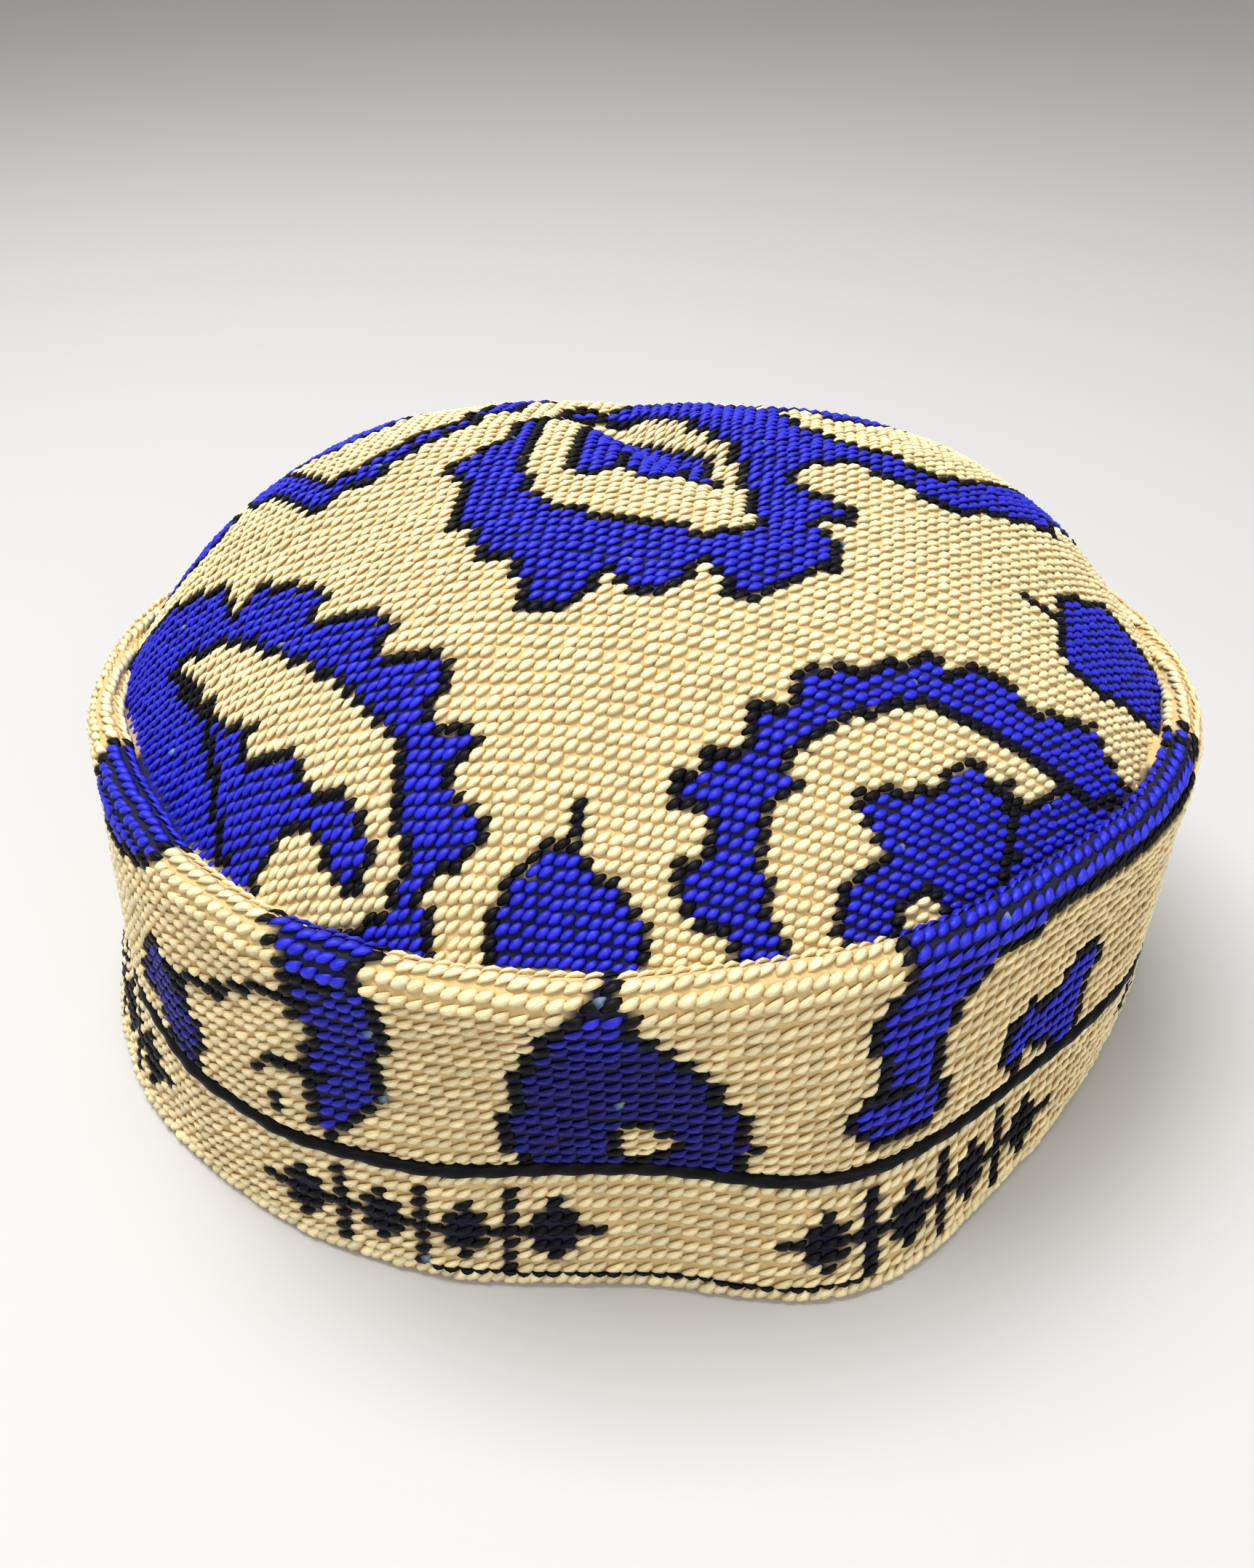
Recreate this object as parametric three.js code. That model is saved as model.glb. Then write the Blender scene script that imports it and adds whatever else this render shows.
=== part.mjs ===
// Four-sided stitched skullcap, standing on its hem.
// Millimetres, +Z up. The origin is the centre of the cap's footprint, on the surface it rests on.
// The front, seen in the usual view, faces -Y.

import * as THREE from 'three';

// Heights above the surface
const HEM_HEIGHT = 2.6;
const SEAM_HEIGHT = 24.3;
const RIDGE_HEIGHT = 66.0;
const CROWN_HEIGHT = 101.0;

// Cloth and cord
const CLOTH = 2.8;
const PADDED_CLOTH = 3.0;
const CORD_DIAMETER = 2.1;
const GAP = 0.3;

// Seam groove, where wall and band turn inwards under the cord: rises are measured from the seam
const GROOVE_DEPTH = 1.9;
const GROOVE_REACH = 3.2;
const GROOVE_LIP_RISE = 1.0;
const SHOULDER_RISE = 1.9;
const SHOULDER_INSET = 0.35;

// Rolled hem: how far it stands out from the band, and half its width where round and where flat
const HEM_STANDOUT = 0.2;
const HEM_BELLY = 1.35;
const HEM_FLAT = 0.9;

// Padded fold at the top of the wall: how far it swells outside its crest, and over what height,
// and how far inside the crest the valley lies, and how deep
const FOLD_SWELL = 3.6;
const FOLD_DROP = 4.5;
const VALLEY_INSET = 2.8;
const VALLEY_DEPTH = 4.0;

// Dome: height falls off as this power of the distance from the apex; its padding is fuller by this
// share towards the valley, and the inner face bends into the wall over this height
const DOME_POWER = 2.65;
const DOME_FULLNESS = 0.35;
const INNER_BEND = 4;

// Crease that dips across the top of the dome
const CREASE = { from: [-2, 22], to: [20, -13], depth: 5.5, halfWidth: 7.5 };

// Soft hollows and swells of the wall between seam and fold, by direction
const DENTS = [
  { direction: 250, spread: 12, depth: 1.5 },
  { direction: 277, spread: 10, depth: -0.8 },
  { direction: 322, spread: 12, depth: 1.0 },
  { direction: 60, spread: 18, depth: 1.4 },
  { direction: 125, spread: 14, depth: 1.2 },
];

// The plan, worn to an oval with eight soft corners: a row for each direction in degrees
const PLAN = [
  { direction: 0, hem: 100.4, seam: 93.7, crest: 91.3 },
  { direction: 22.5, hem: 96.1, seam: 93.6, crest: 90.0 },
  { direction: 45, hem: 89.8, seam: 88.6, crest: 82.2 },
  { direction: 67.5, hem: 85.1, seam: 84.0, crest: 77.5 },
  { direction: 90, hem: 83.9, seam: 83.0, crest: 75.9 },
  { direction: 112.5, hem: 87.6, seam: 86.0, crest: 79.4 },
  { direction: 135, hem: 92.9, seam: 90.8, crest: 84.8 },
  { direction: 157.5, hem: 97.5, seam: 94.6, crest: 89.0 },
  { direction: 180, hem: 100.4, seam: 94.4, crest: 89.8 },
  { direction: 202.5, hem: 98.1, seam: 92.4, crest: 85.7 },
  { direction: 225, hem: 91.3, seam: 89.8, crest: 84.1 },
  { direction: 247.5, hem: 85.2, seam: 82.8, crest: 81.3 },
  { direction: 270, hem: 80.6, seam: 76.4, crest: 78.1 },
  { direction: 292.5, hem: 88.6, seam: 83.9, crest: 78.7 },
  { direction: 315, hem: 86.2, seam: 84.0, crest: 80.9 },
  { direction: 337.5, hem: 90.3, seam: 91.0, crest: 87.1 },
];

// Steps round the cap
const STEPS = 72;

// Radius in one direction, as a smooth closed curve through the rows of the plan
function planRadius(angle, column) {
  const count = PLAN.length;
  const turn = THREE.MathUtils.euclideanModulo(angle / (2 * Math.PI), 1) * count;
  const row = Math.floor(turn);
  const t = turn - row;
  const [a, b, c, d] = [-1, 0, 1, 2].map((k) => PLAN[(row + k + count) % count][column]);
  const linear = c - a;
  const square = 2 * a - 5 * b + 4 * c - d;
  const cubic = 3 * b - a - 3 * c + d;
  return b + 0.5 * (linear * t + square * t * t + cubic * t * t * t);
}

// Inward give of the wall in one direction, greatest half way up and nothing at seam and fold
function dentDepth(angle, rise) {
  let depth = 0;
  for (const dent of DENTS) {
    const turn = THREE.MathUtils.radToDeg(angle) - dent.direction;
    const offset = THREE.MathUtils.euclideanModulo(turn + 180, 360) - 180;
    depth += dent.depth * Math.exp(-((offset / dent.spread) ** 2));
  }
  return depth * Math.sin(Math.PI * rise);
}

// Outer face of the side, from the hem past the seam to the foot of the fold
function sideRadius(angle, height) {
  const seam = planRadius(angle, 'seam');
  if (height <= SEAM_HEIGHT) {
    return THREE.MathUtils.lerp(planRadius(angle, 'hem'), seam, height / SEAM_HEIGHT);
  }
  const top = RIDGE_HEIGHT - FOLD_DROP;
  const rise = (height - SEAM_HEIGHT) / (top - SEAM_HEIGHT);
  const fold = planRadius(angle, 'crest') + FOLD_SWELL;
  return THREE.MathUtils.lerp(seam, fold, rise) - dentDepth(angle, rise);
}

// Depth of the crease at a point of the plan
function creaseDepth(x, y) {
  const [x0, y0] = CREASE.from;
  const [x1, y1] = CREASE.to;
  const length = Math.hypot(x1 - x0, y1 - y0);
  const along = ((x - x0) * (x1 - x0) + (y - y0) * (y1 - y0)) / length;
  const across = ((x - x0) * (y1 - y0) - (y - y0) * (x1 - x0)) / length;
  const past = Math.max(0, -along, along - length);
  return CREASE.depth * Math.exp(-((across / CREASE.halfWidth) ** 2) - (past / CREASE.halfWidth) ** 2);
}

// Height of the dome's outer face; reach is 0 at the apex and 1 at the bottom of the valley
function domeHeight(angle, reach) {
  const valley = RIDGE_HEIGHT - VALLEY_DEPTH;
  const radius = reach * (planRadius(angle, 'crest') - VALLEY_INSET);
  const dip = creaseDepth(radius * Math.cos(angle), radius * Math.sin(angle));
  return valley + (CROWN_HEIGHT - valley) * (1 - reach ** DOME_POWER) - dip;
}

// A point of a section: distance from the axis in its direction, and height
function point(angle, radius, height) {
  return new THREE.Vector3(radius * Math.cos(angle), radius * Math.sin(angle), height);
}

// Closed ring swept round the cap from a section that may change with direction
function ringGeometry(section) {
  const positions = [];
  const indices = [];
  let count = 0;
  for (let step = 0; step < STEPS; step += 1) {
    const angle = (2 * Math.PI * step) / STEPS;
    const ring = section(angle);
    count = ring.length;
    for (const [radius, height] of ring) {
      positions.push(...point(angle, radius, height).toArray());
    }
  }
  for (let step = 0; step < STEPS; step += 1) {
    const next = (step + 1) % STEPS;
    for (let k = 0; k < count; k += 1) {
      const above = (k + 1) % count;
      const [a, b] = [step * count + k, next * count + k];
      const [c, d] = [next * count + above, step * count + above];
      indices.push(a, b, c, a, c, d);
    }
  }
  return finished(positions, indices);
}

// Closed shell: a section that starts on the axis outside and ends on the axis inside
function shellGeometry(section, outerApex, innerApex) {
  const positions = [0, 0, outerApex, 0, 0, innerApex];
  const indices = [];
  const first = 2;
  let count = 0;
  for (let step = 0; step < STEPS; step += 1) {
    const angle = (2 * Math.PI * step) / STEPS;
    const ring = section(angle);
    count = ring.length;
    for (const [radius, height] of ring) {
      positions.push(...point(angle, radius, height).toArray());
    }
  }
  for (let step = 0; step < STEPS; step += 1) {
    const here = first + step * count;
    const next = first + ((step + 1) % STEPS) * count;
    indices.push(0, here, next);
    indices.push(1, next + count - 1, here + count - 1);
    for (let k = 0; k < count - 1; k += 1) {
      indices.push(here + k, here + k + 1, next + k + 1);
      indices.push(here + k, next + k + 1, next + k);
    }
  }
  return finished(positions, indices);
}

function finished(positions, indices) {
  const geometry = new THREE.BufferGeometry();
  geometry.setAttribute('position', new THREE.Float32BufferAttribute(positions, 3));
  geometry.setIndex(indices);
  geometry.computeVertexNormals();
  return geometry;
}

// Rolled hem: round outside and on top, pressed flat where the cap stands on it
function hemSection(angle) {
  const edge = sideRadius(angle, 0) + HEM_STANDOUT;
  const middle = edge - HEM_BELLY;
  return [
    [middle - HEM_FLAT, 0],
    [middle + HEM_FLAT, 0],
    [edge, 0.38 * HEM_HEIGHT],
    [edge - 0.2 * HEM_BELLY, 0.75 * HEM_HEIGHT],
    [middle + 0.4 * HEM_BELLY, HEM_HEIGHT],
    [middle - 0.5 * HEM_BELLY, HEM_HEIGHT],
    [middle - HEM_BELLY, 0.5 * HEM_HEIGHT],
  ];
}

// A point of the side at a height above the seam or below it, set in from the outer face
function seamPoint(angle, inset, rise) {
  const height = SEAM_HEIGHT + rise;
  return [sideRadius(angle, height) - inset, height];
}

// Band: one thickness of cloth, turned in at the top to make room for the cord
function bandSection(angle) {
  const bottom = HEM_HEIGHT + GAP - SEAM_HEIGHT;
  const outer = [1, 0.75, 0.5, 0.25, 0].map((share) => {
    return seamPoint(angle, 0, THREE.MathUtils.lerp(-GROOVE_REACH, bottom, share));
  });
  return [
    ...outer,
    seamPoint(angle, SHOULDER_INSET, -SHOULDER_RISE),
    seamPoint(angle, GROOVE_DEPTH, -GROOVE_LIP_RISE),
    seamPoint(angle, GROOVE_DEPTH, -GAP / 2),
    seamPoint(angle, CLOTH, -GAP / 2),
    seamPoint(angle, CLOTH, bottom / 2),
    seamPoint(angle, CLOTH, bottom),
  ];
}

// Black cord, half sunk in the seam groove
function cordSection(angle) {
  const sides = 8;
  const half = CORD_DIAMETER / 2;
  const centre = sideRadius(angle, SEAM_HEIGHT) - GROOVE_DEPTH + GAP + half;
  return Array.from({ length: sides }, (_, k) => {
    const turn = (2 * Math.PI * (k + 0.5)) / sides;
    return [centre + half * Math.cos(turn), SEAM_HEIGHT + half * Math.sin(turn)];
  });
}

// Crown: dome, valley, padded fold and wall outside, then the plain inner face back to the axis
function crownSection(angle) {
  const crest = planRadius(angle, 'crest');
  const valley = crest - VALLEY_INSET;
  const section = [];

  const reaches = [0.08, 0.18, 0.28, 0.38, 0.48, 0.58, 0.67, 0.75, 0.82, 0.88, 0.93, 0.97];
  for (const reach of reaches) {
    section.push([reach * valley, domeHeight(angle, reach)]);
  }
  section.push([valley, domeHeight(angle, 1)]);

  for (const turn of [160, 125, 90, 65, 40, 18]) {
    const t = THREE.MathUtils.degToRad(turn);
    const [width, drop] = turn > 90 ? [VALLEY_INSET, VALLEY_DEPTH] : [FOLD_SWELL, FOLD_DROP];
    section.push([crest + width * Math.cos(t), RIDGE_HEIGHT - drop * (1 - Math.sin(t))]);
  }

  const wallTop = RIDGE_HEIGHT - FOLD_DROP;
  const wallFoot = SEAM_HEIGHT + GROOVE_REACH;
  for (const share of [0, 0.25, 0.5, 0.75, 1]) {
    const height = wallTop + (wallFoot - wallTop) * share;
    section.push([sideRadius(angle, height), height]);
  }

  section.push(seamPoint(angle, SHOULDER_INSET, SHOULDER_RISE));
  section.push(seamPoint(angle, GROOVE_DEPTH, GROOVE_LIP_RISE));
  section.push(seamPoint(angle, GROOVE_DEPTH, GAP / 2));
  section.push(seamPoint(angle, CLOTH, GAP / 2));

  const innerTop = domeHeight(angle, 0.96) - 2 * PADDED_CLOTH;
  const innerWall = innerTop - INNER_BEND - SEAM_HEIGHT;
  for (const share of [0.35, 0.7, 1]) {
    section.push(seamPoint(angle, CLOTH, innerWall * share));
  }
  section.push([valley - 0.8 * PADDED_CLOTH, innerTop]);
  for (const reach of [0.88, 0.75, 0.6, 0.42, 0.22]) {
    const fuller = DOME_FULLNESS * reach * PADDED_CLOTH;
    section.push([reach * valley - fuller, domeHeight(angle, reach) - PADDED_CLOTH - fuller]);
  }
  return section;
}

function cloth(colour, roughness) {
  return new THREE.MeshStandardMaterial({ color: colour, roughness, metalness: 0 });
}

function piece(name, geometry, material) {
  const mesh = new THREE.Mesh(geometry, material);
  mesh.name = name;
  return mesh;
}

const cap = new THREE.Group();
const apex = CROWN_HEIGHT - creaseDepth(0, 0);

cap.add(piece('hem_edging', ringGeometry(hemSection), cloth('#e6c98f', 0.6)));
cap.add(piece('band', ringGeometry(bandSection), cloth('#e1c387', 0.6)));
cap.add(piece('seam_cord', ringGeometry(cordSection), cloth('#17161a', 0.55)));
cap.add(piece('crown', shellGeometry(crownSection, apex, apex - PADDED_CLOTH), cloth('#e1c387', 0.6)));

// The footprint's box is centred on the origin
const box = new THREE.Box3().setFromObject(cap);
const centre = box.getCenter(new THREE.Vector3());
cap.position.set(-centre.x, -centre.y, 0);
cap.updateMatrixWorld(true);

export default cap;
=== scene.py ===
import math

import bmesh
import bpy
import numpy as np
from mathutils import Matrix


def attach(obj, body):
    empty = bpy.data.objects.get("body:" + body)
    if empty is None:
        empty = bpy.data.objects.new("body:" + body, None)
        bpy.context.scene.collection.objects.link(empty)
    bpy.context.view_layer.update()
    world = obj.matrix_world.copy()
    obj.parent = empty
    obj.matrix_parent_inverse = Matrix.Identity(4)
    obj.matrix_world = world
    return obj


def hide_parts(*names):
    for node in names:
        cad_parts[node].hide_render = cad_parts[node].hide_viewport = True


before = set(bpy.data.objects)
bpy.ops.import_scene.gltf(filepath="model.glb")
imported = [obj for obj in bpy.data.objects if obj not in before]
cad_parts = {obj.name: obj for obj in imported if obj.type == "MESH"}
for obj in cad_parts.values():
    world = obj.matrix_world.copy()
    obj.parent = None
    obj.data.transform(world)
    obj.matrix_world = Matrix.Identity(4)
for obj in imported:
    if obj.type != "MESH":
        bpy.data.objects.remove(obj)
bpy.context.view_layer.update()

# Camera
# The place of the phone that took the photo: just in front of the cap, above it and looking down.
PHOTO_HEIGHT_PIXELS = 2156
PHOTO_FOCAL_PIXELS = 1800
LOOK_DOWN = math.radians(38)
CAMERA_PLACE = (-0.00198, -0.19238, 0.18561)

camera_data = bpy.data.cameras.new("camera")
camera_data.sensor_width = 36.0
camera_data.lens = camera_data.sensor_width * PHOTO_FOCAL_PIXELS / PHOTO_HEIGHT_PIXELS
camera_data.clip_start = 0.01
camera = bpy.data.objects.new("camera", camera_data)
camera.location = CAMERA_PLACE
camera.rotation_euler = (math.pi / 2 - LOOK_DOWN, 0, 0)
bpy.context.scene.collection.objects.link(camera)
bpy.context.scene.camera = camera

# Studio
# A plain pale floor, a large soft light overhead, a weaker one from the front and a pale surround.
FLOOR_WIDTH = 6.0
SURROUND = (0.83, 0.82, 0.8, 1)
SURROUND_STRENGTH = 0.5
FLOOR_PALE = (0.62, 0.61, 0.6, 1)
FLOOR_SHADE = (0.56, 0.555, 0.55, 1)
LAMPS = {
    "overhead": {"place": (-0.18, 0.05, 0.85), "turn": (-4, -12, 0), "width": 0.5, "watts": 9.0},
    "front": {"place": (0.35, -0.75, 0.55), "turn": (58, 0, 25), "width": 0.5, "watts": 3.0},
}


def new_material(name):
    """A material with its nodes, its links and its main shader."""
    made = bpy.data.materials.new(name)
    made.use_nodes = True
    return made, made.node_tree.nodes, made.node_tree.links, made.node_tree.nodes["Principled BSDF"]


surround = bpy.data.worlds.new("surround")
surround.use_nodes = True
surround.node_tree.nodes["Background"].inputs["Color"].default_value = SURROUND
surround.node_tree.nodes["Background"].inputs["Strength"].default_value = SURROUND_STRENGTH
bpy.context.scene.world = surround
bpy.context.scene.view_settings.view_transform = "Standard"

for lamp_name, row in LAMPS.items():
    lamp_data = bpy.data.lights.new(lamp_name, "AREA")
    lamp_data.size = row["width"]
    lamp_data.energy = row["watts"]
    lamp = bpy.data.objects.new(lamp_name, lamp_data)
    lamp.location = row["place"]
    lamp.rotation_euler = [math.radians(angle) for angle in row["turn"]]
    bpy.context.scene.collection.objects.link(lamp)

floor_work = bmesh.new()
bmesh.ops.create_grid(floor_work, x_segments=1, y_segments=1, size=FLOOR_WIDTH / 2)
floor_mesh = bpy.data.meshes.new("floor")
floor_work.to_mesh(floor_mesh)
floor_work.free()
floor_paint, nodes, links, shader = new_material("floor_paint")
mottle = nodes.new("ShaderNodeTexNoise")
mottle.inputs["Scale"].default_value = 9
blend = nodes.new("ShaderNodeMix")
blend.data_type = "RGBA"
blend.inputs["A"].default_value = FLOOR_PALE
blend.inputs["B"].default_value = FLOOR_SHADE
links.new(mottle.outputs["Fac"], blend.inputs["Factor"])
links.new(blend.outputs["Result"], shader.inputs["Base Color"])
shader.inputs["Roughness"].default_value = 0.75
floor_mesh.materials.append(floor_paint)
floor = bpy.data.objects.new("floor", floor_mesh)
bpy.context.scene.collection.objects.link(floor)

# Crown cloth
# The padded cotton that everything is sewn on: a dome, a valley, a padded fold and an upright wall
# in one. Outside it shows only between the stitches, in painted shade of their silk: golden under
# cream and near black under blue and black; inside it is the lining.
MILLIMETRE = 0.001
CENTRE_Y = -0.374
SEAM_HEIGHT = 24.3
FOLD_FOOT = 61.5
VALLEY_HEIGHT = 62.0
CROWN_HEIGHT = 99.6
# Each pair is for the near side and for the far side, where the dome is fuller and the fold lower
VALLEY_INSET = (2.8, 1.2)
FOLD_RISE = (4.5, 1.4)
FOLD_SWELL = (3.6, 1.4)
DOME_POWER = (2.65, 3.6)
FAR_SIDE_BLEND = 0.3
# Straight behind, the dome is no fuller than in front
FAR_MIDDLE = (0.6, 1.0)
CREASE = {"from": (-4, 26), "to": (19, -12), "depths": (7.0, 1.5), "half_width": 7.0}
DENTS = [
    {"direction": 250, "spread": 12, "depth": 1.5},
    {"direction": 277, "spread": 10, "depth": -0.8},
    {"direction": 322, "spread": 12, "depth": 1.0},
    {"direction": 60, "spread": 18, "depth": 1.4},
    {"direction": 125, "spread": 14, "depth": 1.2},
]
# Radii in sixteen directions, every 22.5 degrees from +X
HEM_RADII = (100.4, 96.1, 89.8, 85.1, 83.9, 87.6, 92.9, 97.5, 100.4, 98.1, 91.3, 85.2, 80.6, 88.6, 86.2, 90.3)
SEAM_RADII = (93.7, 93.6, 88.6, 84.0, 83.0, 86.0, 90.8, 94.6, 94.4, 92.4, 89.8, 82.8, 76.4, 83.9, 84.0, 91.0)
CREST_RADII = (91.3, 90.0, 82.2, 77.5, 75.9, 79.4, 84.8, 89.0, 89.8, 85.7, 84.1, 81.3, 78.1, 78.7, 80.9, 87.1)
COLUMNS = 252
WALL_ROW = 2.5
WALL_TOP_ROW = 19.4
CROWN_STITCH = 1.9
CROWN_TURN = math.radians(-7)
CLOTH_UNDER_STITCHES = 0.22
CLOTH_THICKNESS = 2.0
# Wall and band both turn in towards the seam between them
SEAM_TUCK = 1.7
SEAM_TUCK_REACH = 2.0
# Heights of the cloth's waves, and the lengths over which they run along x, y and z
BROAD_WAVE = {"height": 0.28, "x": 9.1, "y": 10.3, "z_with_x": 7.3, "z_with_y": 11.9}
FINE_WAVE = {"height": 0.16, "x": 4.3, "y": 5.1}
# Fineness of the section lines, and the step in stitches over which a slope is measured
DOME_POINTS = 64
DOME_REACH = 1.03
WALL_POINTS = 16
FOLD_POINTS = 9
RING_POINTS = 1441
SLOPE_STEP = 0.15
# Painted shade: the colours of the silk in shade, given to the cloth that shows between the stitches
GAP_SHADE_CREAM = (0.78, 0.58, 0.26, 1)
GAP_SHADE_DARK = (0.004, 0.004, 0.03, 1)
LINING_PALE = (0.74, 0.69, 0.58, 1)
LINING_SHADE = (0.6, 0.55, 0.44, 1)


def around(radii, angle):
    """Radius in a direction, as a smooth closed curve through the sixteen radii."""
    turn = np.mod(angle / math.tau, 1.0) * len(radii)
    row = np.floor(turn).astype(int)
    t = turn - row
    a, b, c, d = (np.asarray(radii)[(row + k) % len(radii)] for k in (-1, 0, 1, 2))
    return b + 0.5 * ((c - a) * t + (2 * a - 5 * b + 4 * c - d) * t**2 + (3 * b - a - 3 * c + d) * t**3)


def walk(radius, height, distance):
    """The point of each section line that lies at a distance along it."""
    steps = np.hypot(np.diff(radius, axis=1), np.diff(height, axis=1))
    length = np.concatenate([np.zeros((len(radius), 1)), np.cumsum(steps, axis=1)], axis=1)
    index = np.clip((length <= distance[:, None]).sum(axis=1) - 1, 0, radius.shape[1] - 2)
    rows = np.arange(len(radius))
    part = (distance - length[rows, index]) / (length[rows, index + 1] - length[rows, index])
    return [line[rows, index] + part * (line[rows, index + 1] - line[rows, index])
            for line in (radius, height)]


def crease_depth(x, y):
    """Depth of the crease across the top of the dome."""
    (x0, y0), (x1, y1) = CREASE["from"], CREASE["to"]
    length = math.hypot(x1 - x0, y1 - y0)
    along = ((x - x0) * (x1 - x0) + (y - y0) * (y1 - y0)) / length
    across = ((x - x0) * (y1 - y0) - (y - y0) * (x1 - x0)) / length
    past = np.maximum(0, np.maximum(-along, along - length)) / CREASE["half_width"]
    depth = np.interp(along, (0, length), CREASE["depths"])
    return depth * np.exp(-((across / CREASE["half_width"]) ** 2) - past**2)


def unevenness(x, y, z):
    """Slow hand-made waves of the cloth, in millimetres."""
    broad, fine = BROAD_WAVE, FINE_WAVE
    rolling = np.sin(x / broad["x"] + z / broad["z_with_x"]) * np.cos(y / broad["y"] - z / broad["z_with_y"])
    return broad["height"] * rolling + fine["height"] * np.sin(x / fine["x"] - y / fine["y"])


def by_side(pair, angle):
    """A size that changes smoothly from the near side of the cap to its far side."""
    far = np.clip((np.sin(angle) + FAR_SIDE_BLEND) / (2 * FAR_SIDE_BLEND), 0, 1)
    return (pair[0] + (pair[1] - pair[0]) * far * far * (3 - 2 * far))[:, None]


def valley_radius(angle):
    """Radius of the bottom of the valley between dome and fold."""
    return around(CREST_RADII, angle) - by_side(VALLEY_INSET, angle)[:, 0]


def dome_section(angle, furthest):
    """Section lines of the dome, from the apex down to the bottom of the valley or just past it."""
    reach = np.linspace(0, furthest, DOME_POINTS)
    corner = 1 - np.interp(np.sin(angle), FAR_MIDDLE, (0, 1))[:, None]
    power = DOME_POWER[0] + (by_side(DOME_POWER, angle) - DOME_POWER[0]) * corner
    heights = VALLEY_HEIGHT + (CROWN_HEIGHT - VALLEY_HEIGHT) * (1 - reach**power)
    return valley_radius(angle)[:, None] * reach, heights


def dome(u, v):
    """Point of the dome, from stitches counted off the apex along the chart's own rows and columns."""
    angle = np.arctan2(v, u) + CROWN_TURN
    radius, height = walk(*dome_section(angle, DOME_REACH), np.hypot(u, v) * CROWN_STITCH)
    x, y = radius * np.cos(angle), radius * np.sin(angle)
    return np.stack([x, y + CENTRE_Y, height - crease_depth(x, y) + unevenness(x, y, height)], axis=1)


def dome_rim(u, v):
    """How far out a point of the chart lies, where 1 is the bottom of the valley."""
    radii, heights = dome_section(np.arctan2(v, u) + CROWN_TURN, 1)
    length = np.hypot(np.diff(radii, axis=1), np.diff(heights, axis=1)).sum(axis=1)
    return np.hypot(u, v) * CROWN_STITCH / length


ring_angles = np.linspace(0, math.tau, RING_POINTS)
ring_radii = around(SEAM_RADII, ring_angles)
ring_steps = np.hypot(np.diff(ring_radii * np.cos(ring_angles)), np.diff(ring_radii * np.sin(ring_angles)))
ring_columns = np.concatenate([[0], np.cumsum(ring_steps)]) / ring_steps.sum() * COLUMNS


def column_angle(column):
    """Direction of a stitch column, all columns being equally wide along the seam."""
    return np.interp(np.mod(column, COLUMNS), ring_columns, ring_angles)


def wall(u, v):
    """Point of the wall and fold, from the column and the row above the seam."""
    angle = column_angle(u)
    seam, crest = around(SEAM_RADII, angle)[:, None], around(CREST_RADII, angle)[:, None]
    swell, fold_rise = by_side(FOLD_SWELL, angle), by_side(FOLD_RISE, angle)
    dent = np.zeros((len(angle), 1))
    for row in DENTS:
        offset = np.mod(np.degrees(angle) - row["direction"] + 180, 360) - 180
        dent += row["depth"] * np.exp(-((offset / row["spread"]) ** 2))[:, None]
    rise = np.linspace(0, 1, WALL_POINTS)
    outer = np.radians(np.linspace(10, 90, FOLD_POINTS))
    inner = np.radians(np.linspace(100, 180, FOLD_POINTS))
    upright = SEAM_HEIGHT + rise * (FOLD_FOOT - SEAM_HEIGHT)
    tuck = SEAM_TUCK * np.clip(1 - (upright - SEAM_HEIGHT) / SEAM_TUCK_REACH, 0, 1) ** 2
    radii = np.concatenate([
        seam + (crest + swell - seam) * rise - dent * np.sin(math.pi * rise) - tuck,
        crest + swell * np.cos(outer), crest + by_side(VALLEY_INSET, angle) * np.cos(inner)], axis=1)
    fold_height = FOLD_FOOT + fold_rise - VALLEY_HEIGHT
    heights = np.concatenate([
        np.tile(upright, (len(angle), 1)), FOLD_FOOT + fold_rise * np.sin(outer),
        VALLEY_HEIGHT + fold_height * np.sin(inner)], axis=1)
    radius, height = walk(radii, heights, v * WALL_ROW)
    x, y = radius * np.cos(angle), radius * np.sin(angle)
    radius = radius + unevenness(x, y, height)
    return np.stack([radius * np.cos(angle), radius * np.sin(angle) + CENTRE_Y, height], axis=1)


def facing(surface, u, v):
    """Outward direction of a surface at points of its chart."""
    across = surface(u + SLOPE_STEP, v) - surface(u - SLOPE_STEP, v)
    upward = surface(u, v + SLOPE_STEP) - surface(u, v - SLOPE_STEP)
    normal = np.cross(across, upward)
    return normal / np.linalg.norm(normal, axis=1)[:, None]


# Crown and wall charts
# The traditional pattern, counted in stitches: large scalloped almonds over the corners and on top,
# small ones half way along the sides, stems and leaves on the wall. The unseen half is guessed: the
# wall repeats its seen half, turned half way round, and the far almonds are charted on their own.
CREAM, BLUE, BLACK, NAVY, DUSK = range(5)
CORNER_RIGHT = [
    (14, -56), (12, -45), (12, -42), (10, -42), (8, -41), (7, -39), (7, -37), (9, -37), (9, -34), (6, -34),
    (6, -31), (8, -31), (8, -29), (11, -29), (11, -25), (14, -25), (14, -22), (16, -21), (21, -19),
    (22, -18), (25, -16), (27, -17), (29, -15), (32, -15), (35, -16), (38, -15), (40, -14), (42, -13),
    (44, -15), (47, -16), (56, -20), (53, -36), (36, -56),
]
CORNER_RIGHT_CRESCENT = [
    (19, -56), (19, -42), (16, -41), (15, -38), (14, -35), (14, -32), (16, -31), (15, -29), (17, -26),
    (20, -24), (23, -22), (25, -21), (35, -21), (38, -21), (37, -23), (34, -25), (33, -24), (30, -23),
    (27, -25), (27, -27), (24, -28), (21, -29), (19, -30), (21, -31), (21, -32), (23, -33), (22, -35),
    (20, -36), (20, -39), (22, -41), (22, -56),
]
CORNER_RIGHT_SPOT = [(27, -35), (29, -35), (29, -37), (27, -56), (24, -56), (26, -37)]
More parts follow.
